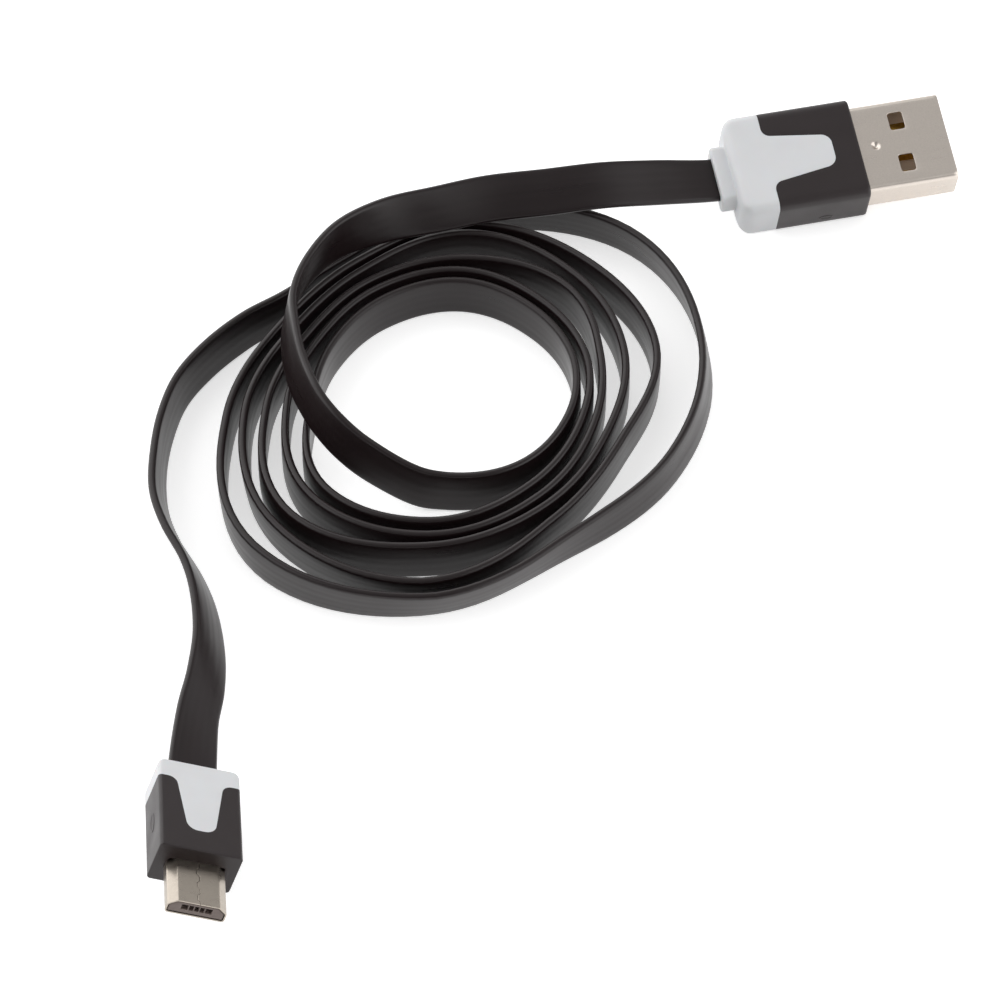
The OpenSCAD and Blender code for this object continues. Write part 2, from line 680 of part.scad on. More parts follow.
type_a_shell();
type_a_insulator();
for (i = [1 : 4]) type_a_contact(i);
type_a_inner_mould();
type_a_cover();
type_a_collar();
for (i = [1 : 4]) type_a_core(i);
micro_shell();
micro_insulator();
for (i = [1 : 5]) micro_contact(i);
micro_latch(1);  // micro_latch_left
micro_latch(-1);  // micro_latch_right
micro_inner_mould();
micro_cover();
micro_collar();
for (i = [1 : 4]) micro_core(i);
type_a_lead();
coil();
micro_lead();
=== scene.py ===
"""The looks of a flat charging cable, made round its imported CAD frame.

Lengths are in millimetres while a shape is worked out, and in metres in its mesh.
Each plug is drawn in its own frame: origin in the middle of the moulding's front face,
X the way the plug goes in, Y across it and Z out of its top.
"""

import math

import bpy
import numpy as np
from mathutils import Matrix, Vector


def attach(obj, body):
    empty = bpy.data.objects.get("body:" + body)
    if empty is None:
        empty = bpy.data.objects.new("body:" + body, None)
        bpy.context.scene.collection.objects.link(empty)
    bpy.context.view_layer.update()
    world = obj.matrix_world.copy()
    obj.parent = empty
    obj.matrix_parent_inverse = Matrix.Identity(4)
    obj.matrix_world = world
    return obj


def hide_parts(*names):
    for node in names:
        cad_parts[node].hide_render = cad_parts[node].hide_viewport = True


bl_info = {
    "name": "Flat charging cable",
    "version": (1, 0, 0),
    "blender": (4, 5, 0),
    "location": "View3D > Sidebar > Cable",
    "description": "Makes the cord, mouldings, shells and finishes of a flat charging cable",
    "category": "Object",
}

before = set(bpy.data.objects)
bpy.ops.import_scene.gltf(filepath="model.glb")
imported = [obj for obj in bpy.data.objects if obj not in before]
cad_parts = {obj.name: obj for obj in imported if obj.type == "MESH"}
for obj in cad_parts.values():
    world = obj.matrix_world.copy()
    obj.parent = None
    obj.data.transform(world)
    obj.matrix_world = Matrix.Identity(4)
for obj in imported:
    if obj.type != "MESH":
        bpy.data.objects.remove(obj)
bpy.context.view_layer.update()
MM = 0.001
WHITE = (1.0, 1.0, 1.0, 1.0)


# ---------------------------------------------------------------- settings
def linear(code):
    """An sRGB hex code as linear red, green and blue."""
    value = np.array([int(code[i : i + 2], 16) for i in (1, 3, 5)]) / 255
    power = ((value + 0.055) / 1.055) ** 2.4
    return tuple(np.where(value <= 0.04045, value / 12.92, power).tolist())


def length(name, description, millimetres):
    """A length setting, given in millimetres."""
    return bpy.props.FloatProperty(
        name=name, description=description, default=millimetres * MM, min=0.0, precision=5,
        unit="LENGTH", subtype="DISTANCE",
    )


def colour(name, description, code):
    """A colour setting, given as an sRGB hex code."""
    return bpy.props.FloatVectorProperty(
        name=name, description=description, default=linear(code), size=3, min=0.0, max=1.0,
        subtype="COLOR",
    )


class CordSettings(bpy.types.PropertyGroup):
    """The flat cord."""

    width: length("Width", "Width of the jacket", 6.1)
    thickness: length("Thickness", "Thickness of the jacket", 1.1)
    edge: length("Edge rounding", "Rounding of the jacket's edges", 0.48)
    relief: length("Core relief", "Height of the waves that the cores leave in the jacket", 0.006)
    bow: length("Bow", "Height by which the broad faces bow outwards in their middle", 0.06)
    jacket: colour("Jacket", "Colour of the jacket", "#1b1213")


class PlugSettings(bpy.types.PropertyGroup):
    """The mouldings and shells."""

    seam: length("Seam lip", "Bevel along the joint of cover and collar", 0.09)
    wall: length("Wall", "Wall of a cover or collar", 0.55)
    cover: colour("Cover", "Colour of the covers", "#1f1516")
    collar: colour("Collar", "Colour of the collars", "#d9dadc")
    plating: colour("Nickel", "Colour of the type A shell's nickel plating", "#d5ccc3")
    tin: colour("Tin", "Colour of the micro shell's tin plating", "#b1a89d")
    gold: colour("Gold", "Colour of the contacts", "#d9b25a")
    insulator: colour("Insulator", "Colour of the micro insulator", "#72655f")


class StudioSettings(bpy.types.PropertyGroup):
    """The camera and the light."""

    eye: bpy.props.FloatVectorProperty(
        name="Camera place", description="Place of the camera",
        default=(-0.0984, -0.40345, 0.4979), size=3, unit="LENGTH", subtype="TRANSLATION",
    )
    target: bpy.props.FloatVectorProperty(
        name="Camera target", description="Point of the floor that the camera looks at",
        default=(-0.008, 0.00445, 0.0), size=3, unit="LENGTH", subtype="TRANSLATION",
    )
    lens: bpy.props.FloatProperty(
        name="Focal length", description="Focal length on a 36 mm sensor", default=186.97,
        unit="CAMERA",
    )
    side: bpy.props.FloatProperty(
        name="Soft boxes", description="Power of a soft box, of which each lamp has its share",
        default=2.6, unit="POWER",
    )
    air: bpy.props.FloatProperty(
        name="Surroundings", description="Strength of the even light from all round", default=0.6
    )


# ---------------------------------------------------------------- places and routes
# Each plug's place, and its turns about X, Y and Z in degrees
A_AT, A_TURN = (49.4, 47.45, 5.065), (16.0, 0.0, 0.0)
M_AT, M_TURN = (-56.0, -47.7, 6.15), (-20.0, -8.5, -98.5)

# On each plug's own X axis, where the cord ends inside the moulding and where it comes out
A_INSIDE, A_EXIT = -13.5, -19.2
M_INSIDE, M_EXIT = -11.0, -15.2

# The coil is set out in ten directions, counter-clockwise from the left: the reach of the
# cord's middle on its first turn, and then the room between each turn and the next, beyond
# the step of a close winding
COIL_CENTRE = (-11.0, 20.5)
SECTOR = 36  # degrees from one direction to the next
FIRST_REACH = (15.5, 15.5, 16, 16.7, 16.2, 16.1, 16.2, 17, 16.3, 16.1)
TURN_STEP = 1.7
ROOM = (
    (0.6, 6.1, 5.5, 1.6, 0, 0, 0, 0.2, 0.2, 0.2),
    (1.4, 0.5, 0.5, 0.4, 0, 0.1, 2.4, 0.5, 0, 0),
    (1, 2.1, 0.1, 0, 0.3, 1.4, 0.5, 2.6, 0.3, 0.2),
    (0.8, 0.5, 3.2, 0.4, 0.3, 2.4, 1.1, 0, 0, 0.1),
    (0.7, 2.6, 0.5, 1.3, 5.1, 4.7, 6.5, 1.8, 0.4, 0.9),
)
# How far the standing cord leans, in degrees, at these degrees along the coil
LEAN_AT = (0, 36, 180, 1300, 1440, 1476, 1512, 1545, 1650, 1840, 1875, 1895, 1920, 1970)
LEAN = (10, 10, 0, 0, -5, -7, -14, -4, 0, -4, -19, -17, -3, 10)
# The degrees between which the cord is on the coil, and how far in its leads take their aim
COIL_FROM, COIL_TO = 75, 2100
COIL_AIM = 15.0

# Height of the lead's middle over the standing turns: their width, a gap, and half its own
OVER = 6.1 + 0.5 + 3.05

# Routes of the free stretches: x, y, z and the turn of the cord's width about its run,
# 0 flat and 90 on its edge
A_ROUTE = (
    (22.5, 46.9, 7, 27), (15, 46.5, 8.6, 34), (7.5, 46.7, 8.8, 40), (0, 47, 9, 45),
    (-7, 46.4, 9.2, 52), (-14, 45.7, 9.5, 66), (-20.5, 43.5, OVER + 0.1, 84),
    (-25.5, 39, OVER + 0.3, 95), (-28.5, 34, OVER + 0.3, 99), (-29.7, 29, OVER + 0.15, 106),
    (-30, 23, OVER + 0.05, 108), (-29.3, 17.6, OVER, 106), (-27.9, 13.9, 8.95, 104),
    (-25.5, 10.9, 7.2, 102), (-22.2, 8.4, 5.2, 101), (-18.4, 6, 3.7, 100),
)
M_ROUTE = (
    (-28.7, 39.2, 3.1, 88), (-34.2, 36.6, 3.1, 83), (-39.5, 33, 3.1, 82), (-44, 28.5, 3.1, 82),
    (-47, 23, 3.1, 81), (-49, 17, 3.1, 80), (-50, 11, 3.1, 75), (-49.5, 5.5, 3.1, 72),
    (-48, -0.5, 3.1, 69), (-47.5, -6, 3.2, 64), (-48, -12.5, 3.2, 57),
    (-49.5, -18.5, 3.3, 47), (-51.5, -24, 3.5, 40),
)

CORE_PITCH = 1.2  # distance between the middles of two cores


def turning(turn):
    """The matrix that rolls about X, then pitches about Y, then yaws about Z."""
    (cx, cy, cz), (sx, sy, sz) = np.cos(np.radians(turn)), np.sin(np.radians(turn))
    roll = np.array([[1, 0, 0], [0, cx, -sx], [0, sx, cx]])
    pitch = np.array([[cy, 0, sy], [0, 1, 0], [-sy, 0, cy]])
    yaw = np.array([[cz, -sz, 0], [sz, cz, 0], [0, 0, 1]])
    return yaw @ pitch @ roll


def placed(points, at, turn):
    """Points of a plug's own frame, as the plug lies."""
    points = np.asarray(points, float)
    return (points.reshape(-1, 3) @ turning(turn).T + np.array(at)).reshape(points.shape)


def catmull_rom(a, b, c, d, u):
    """The Catmull-Rom curve from b to c at shares u of the way: the cubic whose slope at b is
    half the step from a to c, and at c half the step from b to d."""
    squared, cubed = 2 * a - 5 * b + 4 * c - d, 3 * b - a - 3 * c + d
    return 0.5 * (2 * b + (c - a) * u + squared * u**2 + cubed * u**3)


def blend(points, steps):
    """The Catmull-Rom curve through all points but the first and the last."""
    p = np.asarray(points, float)
    near = (p[i : len(p) - 3 + i, None, :] for i in range(4))
    curve = catmull_rom(*near, (np.arange(steps) / steps)[None, :, None])
    return np.concatenate([curve.reshape(-1, p.shape[1]), p[-2:-1]])


def coil_points(degrees, width):
    """Places on the coil: x, y, z and the turn of the cord's width. The reach is a Catmull-Rom
    curve over the directions of every turn, the lean is read off its table, and the middle of
    the cord stands half its width times the cosine of its lean above the floor."""
    reach = np.array(FIRST_REACH) + np.cumsum(TURN_STEP + np.array(ROOM), axis=0)
    reach = np.concatenate([[FIRST_REACH], reach]).ravel()
    control = np.concatenate([reach[:1], reach, reach[-1:], reach[-1:]])
    sector = np.floor(degrees / SECTOR).astype(int)
    near = (control[np.clip(sector + i, 0, len(control) - 1)] for i in range(4))
    r = catmull_rom(*near, degrees / SECTOR - sector)
    lean = np.interp(degrees, LEAN_AT, LEAN)
    way = np.radians(180 + degrees)
    x, y = COIL_CENTRE[0] + r * np.cos(way), COIL_CENTRE[1] + r * np.sin(way)
    return np.stack([x, y, width / 2 * np.cos(np.radians(lean)), 90 + lean], axis=1)


def jacket_end(x, at, turn, facing):
    """A point of the route on a plug's own axis."""
    return np.append(placed([x, 0, 0], at, turn), facing)


def cord_route(width, route_steps=8, coil_step=3.0):
    """The whole cord from plug to plug: x, y, z and the turn of its width at each ring, with
    route_steps rings to each stretch of a lead and one every coil_step degrees of the coil."""
    a_inside, a_exit = (jacket_end(x, A_AT, A_TURN, A_TURN[0]) for x in (A_INSIDE, A_EXIT))
    m_inside, m_exit = (jacket_end(x, M_AT, M_TURN, -M_TURN[0]) for x in (M_INSIDE, M_EXIT))
    first = coil_points(np.array([COIL_FROM, COIL_FROM + COIL_AIM]), width)
    last = coil_points(np.array([COIL_TO - COIL_AIM, COIL_TO]), width)
    turns = coil_points(np.arange(COIL_FROM, COIL_TO + coil_step / 2, coil_step), width)
    lead_in = blend([a_inside, a_inside, a_exit, *A_ROUTE, *first], route_steps)
    lead_out = blend([*last, *M_ROUTE, m_exit, m_inside, m_inside], route_steps)
    return np.concatenate([lead_in[:-1], turns, lead_out[1:]])


def cord_axes(way):
    """Unit vectors at each ring, across the cord's width and through its thickness: the level
    vector square to its run and the one square to both, turned together about the run."""
    along = np.gradient(way[:, :3], axis=0)
    along /= np.linalg.norm(along, axis=1)[:, None]
    side = np.stack([along[:, 1], -along[:, 0], np.zeros(len(along))], axis=1)
    side /= np.linalg.norm(side, axis=1)[:, None]
    up = np.cross(side, along)
    turn = np.radians(way[:, 3])[:, None]
    cosine, sine = np.cos(turn), np.sin(turn)
    return side * cosine + up * sine, up * cosine - side * sine


def jacket_section(width, thick, edge, relief, bow):
    """The jacket's outline, round from +Y. Each broad face lies at half the thickness, lowered
    by the relief and raised again by a cosine wave of that height over each core, and lowered
    by the bow times the squared share of the way to its edge. A quarter ellipse rounds each
    edge."""
    flat = np.linspace(1, -1, 17) * (width / 2 - edge)
    wave = relief * np.cos(2 * math.pi * (flat - CORE_PITCH / 2) / CORE_PITCH)
    face = thick / 2 - relief + wave - bow * (2 * flat / width) ** 2
    side, shoulder = width / 2, thick / 2 - edge
    turn = np.linspace(0, math.pi / 2, 5)[1:-1]
    rounding = np.stack(
        [side - edge + edge * np.cos(turn), shoulder + (face[0] - shoulder) * np.sin(turn)], axis=1
    )
    upper = np.concatenate([
        [[side, 0], [side, shoulder]], rounding, np.stack([flat, face], axis=1),
        rounding[::-1] * [-1, 1], [[-side, shoulder]],
    ])
    return np.concatenate([upper, -upper])


# ---------------------------------------------------------------- meshes
# Columns of a quarter outline: to the split, on to the corner, round it, and down the side
COLUMNS = (6, 6, 6, 4)
SHARP = 50  # degrees between two faces from which their edge is beveled


def surface(name, points, around=True, keep=None, caps=()):
    """A mesh over a grid of points in millimetres. around joins the last column to the first,
    keep says which quads stay, and caps lists the end rows that are closed."""
    rows, columns = points.shape[:2]
    index = np.arange(rows * columns).reshape(rows, columns)
    start = index if around else index[:, :-1]
    end = np.roll(index, -1, axis=1) if around else index[:, 1:]
    quads = np.stack([start[:-1], end[:-1], end[1:], start[1:]], axis=-1)
    quads = quads.reshape(-1, 4) if keep is None else quads[keep]
    used, inverse = np.unique(quads, return_inverse=True)
    faces = inverse.reshape(quads.shape).tolist()
    if "first" in caps:
        faces.append(index[0][::-1].tolist())
    if "last" in caps:
        faces.append(index[-1].tolist())
    mesh = bpy.data.meshes.new(name)
    mesh.from_pydata((points.reshape(-1, 3)[used] * MM).tolist(), [], faces)
    mesh.polygons.foreach_set("use_smooth", [True] * len(mesh.polygons))
    piece = bpy.data.objects.new(name, mesh)
    bpy.context.scene.collection.objects.link(piece)
    return piece


def box_outline(half_w, half_t, radius, split):
    """Closed outlines of rounded rectangles, one a row, starting at the middle of the top and
    going round by +Y. A column always lies at y = split on the broad faces, the corners are
    quarter circles, and one quarter is mirrored to make the other three."""
    half_w, half_t, radius, split = (
        np.asarray(v, float)[:, None] for v in np.broadcast_arrays(half_w, half_t, radius, split)
    )
    a, b, c, d = (np.arange(n)[None, :] / n for n in COLUMNS)
    arc = c * math.pi / 2
    flat, low = half_w - radius, half_t - radius
    y = np.concatenate(
        [split * a, split + (flat - split) * b, flat + radius * np.sin(arc), half_w + 0 * d], axis=1
    )
    z = np.concatenate(
        [half_t + 0 * a, half_t + 0 * b, low + radius * np.cos(arc), low * (1 - d)], axis=1
    )
    zero = 0 * half_w
    y = np.concatenate([y, half_w, y[:, :0:-1], zero, -y[:, 1:], -half_w, -y[:, :0:-1]], axis=1)
    z = np.concatenate([z, zero, -z[:, :0:-1], -half_t, -z[:, 1:], zero, z[:, :0:-1]], axis=1)
    return y, z


def finished(piece, material, wall=0.0, bevel=0.0, segments=2, body="cable"):
    """Gives a piece its wall, its beveled edges, its finish and the body it rides on. The wall
    grows inwards, and it and the bevel are in metres."""
    if wall:
        shell = piece.modifiers.new("wall", "SOLIDIFY")
        shell.thickness, shell.offset, shell.use_even_offset = wall, -1.0, False
    if bevel:
        edge = piece.modifiers.new("edge", "BEVEL")
        edge.width, edge.segments, edge.limit_method = bevel, segments, "ANGLE"
        edge.angle_limit = math.radians(SHARP)
    if wall or bevel:
        piece.modifiers.new("flat faces", "WEIGHTED_NORMAL")
    piece.data.materials.append(material)
    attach(piece, body)
    return piece


# ---------------------------------------------------------------- finishes
def add(tree, kind, inputs=None, **settings):
    """Adds a shader node with its settings, and sets or links its inputs."""
    made = tree.nodes.new("ShaderNode" + kind)
    for name, value in settings.items():
        setattr(made, name, value)
    for name, value in (inputs or {}).items():
        if isinstance(value, bpy.types.NodeSocket):
            tree.links.new(value, made.inputs[name])
        else:
            made.inputs[name].default_value = value
    return made


def new_material(name):
    """An empty node material, and its tree."""
    material = bpy.data.materials.new(name)
    material.use_nodes = True
    material.node_tree.nodes.clear()
    return material, material.node_tree


def shaded(value, factor):
    """A colour made darker or lighter."""
    return (*(min(1.0, c * factor) for c in value[:3]), 1.0)


def extruded_jacket(name, base):
    """Extruded soft vinyl: matt black with a warm tinge. Its plasticiser gives a lower index than
    hard plastic, so the sheen is low. The die leaves faint streaks along the cord, and handling
    leaves lighter rubbed patches in the sheen. The streaks are 55 mm long and 0.8 mm wide, ten
    times as wide as real ones, so that they show. The patches are 11 mm by 3 mm, and the
    grain is 0.2 mm. The UV map runs along the cord in metres."""
    material, tree = new_material(name)
    uv = add(tree, "UVMap", uv_map="run")
    streak_at = add(tree, "Mapping", {"Vector": uv.outputs[0], "Scale": (18.0, 1200.0, 1.0)})
    streaks = add(tree, "TexNoise", {"Vector": streak_at.outputs[0], "Scale": 1.0})
    cloud_at = add(tree, "Mapping", {"Vector": uv.outputs[0], "Scale": (90.0, 350.0, 1.0)})
    clouds = add(tree, "TexNoise", {"Vector": cloud_at.outputs[0], "Scale": 1.0})
    place = add(tree, "TexCoord").outputs["Object"]
    grain = add(tree, "TexNoise", {"Vector": place, "Scale": 5200.0})
    tone = add(
        tree, "Mix", {0: streaks.outputs[0], 6: shaded(base, 0.8), 7: shaded(base, 1.2)},
        data_type="RGBA",
    )
    worn = add(tree, "Math", {0: streaks.outputs[0], 1: clouds.outputs[0]}, operation="ADD")
    rough = add(tree, "MapRange", {0: worn.outputs[0], 1: 0.7, 2: 1.3, 3: 0.27, 4: 0.4})
    bump = add(tree, "Bump", {"Height": grain.outputs[0], "Strength": 0.06, "Distance": 0.00004})
    skin = add(
        tree, "BsdfPrincipled",
        {
            "Base Color": tone.outputs[2], "Roughness": rough.outputs[0], "IOR": 1.42,
            "Normal": bump.outputs[0],
        },
    )
    add(tree, "OutputMaterial", {"Surface": skin.outputs[0]})
    return material


def moulded(name, base, roughness, grit, depth, subsurface=0.0):
    """Moulded plastic, matt to satin: the spark-eroded mould leaves a fine grain of grit
    millimetres. Tone and sheen hardly change over the piece, in patches of 4.5 mm, and a pale
    one lets a little light in under its skin."""
    material, tree = new_material(name)
    place = add(tree, "TexCoord").outputs["Object"]
    grain = add(tree, "TexNoise", {"Vector": place, "Scale": 1 / (grit * MM)})
    cloud = add(tree, "TexNoise", {"Vector": place, "Scale": 220.0})
    tone = add(
        tree, "Mix", {0: cloud.outputs[0], 6: shaded(base, 0.96), 7: shaded(base, 1.04)},
        data_type="RGBA",
    )
    least, most = roughness - 0.05, roughness + 0.05
    rough = add(tree, "MapRange", {0: cloud.outputs[0], 1: 0.3, 2: 0.7, 3: least, 4: most})
    bump = add(tree, "Bump", {"Height": grain.outputs[0], "Strength": depth, "Distance": 0.00003})
    skin = add(
        tree, "BsdfPrincipled",
        {
            "Base Color": tone.outputs[2], "Roughness": rough.outputs[0], "IOR": 1.5,
            "Normal": bump.outputs[0], "Subsurface Weight": subsurface,
            "Subsurface Scale": 0.0008,
        },
    )
    add(tree, "OutputMaterial", {"Surface": skin.outputs[0]})
    return material


def plated(name, base, roughness, rub):
    """Rolled and stamped sheet metal, bright or plated in a bath: satin, in the metal's own
    colour. A speckle of 0.2 mm breaks up its reflections, and rolling leaves a slight drift of
    the sheen, up to rub either way, in marks of 7 mm along X."""
    material, tree = new_material(name)
    place = add(tree, "TexCoord").outputs["Object"]
    drawn = add(tree, "Mapping", {"Vector": place, "Scale": (150.0, 1500.0, 1500.0)})
    marks = add(tree, "TexNoise", {"Vector": drawn.outputs[0], "Scale": 1.0})
    spots = add(tree, "TexNoise", {"Vector": place, "Scale": 5000.0})
    tone = add(
        tree, "Mix", {0: spots.outputs[0], 6: shaded(base, 0.88), 7: shaded(base, 1.05)},
        data_type="RGBA",
    )
    least, most = roughness - rub, roughness + rub
    rough = add(tree, "MapRange", {0: marks.outputs[0], 1: 0.3, 2: 0.7, 3: least, 4: most})
    bump = add(tree, "Bump", {"Height": spots.outputs[0], "Strength": 0.04, "Distance": 0.00002})
    skin = add(
        tree, "BsdfPrincipled",
        {
            "Base Color": tone.outputs[2], "Metallic": 1.0, "Roughness": rough.outputs[0],
            "Normal": bump.outputs[0],
        },
    )
    add(tree, "OutputMaterial", {"Surface": skin.outputs[0]})
    return material


# ---------------------------------------------------------------- mouldings
LIP = 0.8  # depth of the openings' rims
NECK_END = 0.3  # radius of the neck's rear edge
NECK_STRIP = 0.6  # half width of the strip that the tongue's columns become on the neck
JACKET_HOLE = (3.1, 0.6, 0.4)  # half width, half thickness and rounding round the jacket


def moulding_grid(size, cover, tongue, hole, neck):
    """The outside of a moulding as rows of outlines, from the rim of the shell's opening round
    the front edge, along the sides, round the rear corners and along the neck to the jacket.

    size: length, width, thickness, rounding of the long edges, radius of the rear corners
    cover: length of the closed band at the front, and of the cover with its prongs
    tongue: width at its tip and at its root, radius of its tip's corners and of its root's
    hole: half width, half thickness and rounding of the shell's opening
    neck: half width, half thickness and rounding of the neck, and its length

    The front edge and the rear corners are quarter circles. The tongue's half width follows a
    quarter circle at its tip, a straight flank, and a quarter circle at its root."""
    long, width, thick, edge, corner = size
    band, cover_l = cover
    tip, root, tip_r, root_r = tongue
    hole_w, hole_t, hole_r = hole
    neck_w, neck_t, neck_r, neck_l = neck
    half_w, half_t, front, end = width / 2, thick / 2, edge / 3, long + neck_l
    q = np.linspace(0, math.pi / 2, 7)
    slope = (root - tip) / 2 / (cover_l - band)
    inner = tip / 2 - tip_r
    third = half_w / 3
    stations = []

    def rows(x, w, t, r, split):
        stations.append(np.stack([np.ravel(v) for v in np.broadcast_arrays(x, w, t, r, split)]))

    # Rim and front face
    rows(-LIP, hole_w, hole_t, hole_r, inner)
    f = np.linspace(0, 1, 5)[:-1]
    rows(
        0, hole_w + (half_w - front - hole_w) * f, hole_t + (half_t - front - hole_t) * f,
        hole_r + (edge - front - hole_r) * f, inner,
    )
    bulge = front * np.sin(q) - front
    rows(-front * (1 - np.cos(q)), half_w + bulge, half_t + bulge, edge + bulge, inner)
    # Closed band
    rows(-np.linspace(front, band, 9)[1:-1], half_w, half_t, edge, inner)
    band_row = sum(part.shape[1] for part in stations)
    # Tongue: tip, flank and root
    x = band + tip_r * (1 - np.cos(q))
    rows(-x, half_w, half_t, edge, inner + tip_r * np.sin(q) + slope * (x - band))
    x = np.linspace(band + tip_r, cover_l - root_r, 14)[1:-1]
    rows(-x, half_w, half_t, edge, tip / 2 + slope * (x - band))
    x = cover_l - root_r + root_r * np.sin(q)
    root_half = tip / 2 + slope * (x - band) + root_r * (1 - np.cos(q))
    rows(-x, half_w, half_t, edge, root_half)
    prong_row = sum(part.shape[1] for part in stations) - 1
    # Rear block and its rounded corners
    f = np.linspace(0, 1, 6)[1:-1]
    split = root_half[-1] + (third - root_half[-1]) * f
    rows(-cover_l - (long - corner - cover_l) * f, half_w, half_t, edge, split)
    left = corner * (1 - np.sin(q))
    inset = np.maximum(edge - left, 0)
    drop = edge - np.sqrt(edge**2 - inset**2)
    rows(left - long, half_w - corner * (1 - np.cos(q)), half_t - drop, edge, third)
    # Rear face
    f = np.linspace(0, 1, 5)[1:-1]
    back_w, back_t = half_w - corner, half_t - edge
    rows(
        -long, back_w + (neck_w - back_w) * f, back_t + (neck_t - back_t) * f,
        edge + (neck_r - edge) * f, third * (1 - f) + NECK_STRIP * f,
    )
    # Neck, its rear edge and the rim round the jacket
    rows(np.linspace(-long, NECK_END - end, 5), neck_w, neck_t, neck_r, NECK_STRIP)
    shrink = NECK_END * (1 - np.cos(q[1:]))
    rows(
        NECK_END * (1 - np.sin(q[1:])) - end, neck_w - shrink, neck_t - shrink, neck_r - shrink,
        NECK_STRIP,
    )
    rows(np.array([0, LIP]) - end, *JACKET_HOLE, NECK_STRIP)
    x, w, t, r, split = np.concatenate(stations, axis=1)
    y, z = box_outline(w, t, r, split)
    return np.stack([np.broadcast_to(x[:, None], y.shape), y, z], axis=-1), band_row, prong_row


def moulding(plug, size, cover, tongue, hole, neck, at, turn, finishes):
    """The black cover and the white collar of one plug: two parts of one surface, joined along
    the tongue's outline and across the rear of the cover's prongs."""
    settings = bpy.context.scene.cable_plugs
    grid, band_row, prong_row = moulding_grid(size, cover, tongue, hole, neck)
    rows, columns = grid.shape[:2]
    row = np.arange(rows - 1)[:, None]
    half = columns // 2
    from_start = np.arange(columns)[None, :] % half
    from_middle = np.minimum(from_start, half - 1 - from_start)
    collar = (from_middle < COLUMNS[0]) & (row >= band_row) | (row >= prong_row)
    spots = placed(grid, at, turn)
    for part, slot, keep in (("cover", "black_cover", ~collar), ("collar", "white_collar", collar)):
        piece = surface(f"{plug}_{part}_skin", spots, keep=keep)
        finished(piece, finishes[part], wall=settings.wall, bevel=settings.seam, segments=3)
        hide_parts(f"{plug}_{part}")


def gate_mark(plug, middle, half_l, half_h, at, turn, finish):
    """The oval mark that the mould's gate leaves on the side of a cover: rings of one ellipse,
    shrunk by reach and raised by height, which make a lip round a shallow dish."""
    middle_x, side_y, middle_z = middle
    reach = np.array([1.0, 1.0, 0.94, 0.86, 0.78, 0.6, 0.3, 0.08])[:, None]
    height = np.array([-0.1, 0.01, 0.05, 0.05, 0.01, 0.0, 0.01, 0.02])[:, None]
    angle = np.linspace(0, 2 * math.pi, 40, endpoint=False)[None, :]
    x, z = middle_x + half_l * reach * np.cos(angle), middle_z + half_h * reach * np.sin(angle)
    grid = np.stack(np.broadcast_arrays(x, side_y - height, z), axis=-1)
    piece = surface(f"{plug}_gate_mark", placed(grid, at, turn), caps=("last",))
    finished(piece, finish)


# ---------------------------------------------------------------- shells
TOUCH = 0.01  # how near a point lies to the face that it is on
SAME = 0.001  # how near two points of an outline lie that are one


def arc_points(centre, radius, start, end, steps):
    """Points on an arc, angles in degrees from +Y towards +Z."""
    angle = np.radians(np.linspace(start, end, steps + 1))
    y, z = centre[0] + radius * np.cos(angle), centre[1] + radius * np.sin(angle)
    return np.stack([y, z], axis=1)


def half_outline(parts):
    """Joins stretches of an outline and leaves out doubled points."""
    path = np.concatenate(parts)
    apart = np.linalg.norm(np.diff(path, axis=0), axis=1) > SAME
    return path[np.concatenate([[True], apart])]


def both_halves(half):
    """An outline's +Y half and its mirror image, as one open path with its seam at the ends."""
    mirrored = half[-2::-1] * np.array([-1.0, 1.0])
    return np.concatenate([half, mirrored])


def sheet_grid(xs, outline):
    """An outline carried along X."""
    grid = np.empty((len(xs), len(outline), 3))
    grid[..., 0] = xs[:, None]
    grid[..., 1:] = outline[None]
    return grid


def centres(grid):
    """Middles of the quads of an open grid."""
    return (grid[:-1, :-1] + grid[1:, :-1] + grid[1:, 1:] + grid[:-1, 1:]) / 4


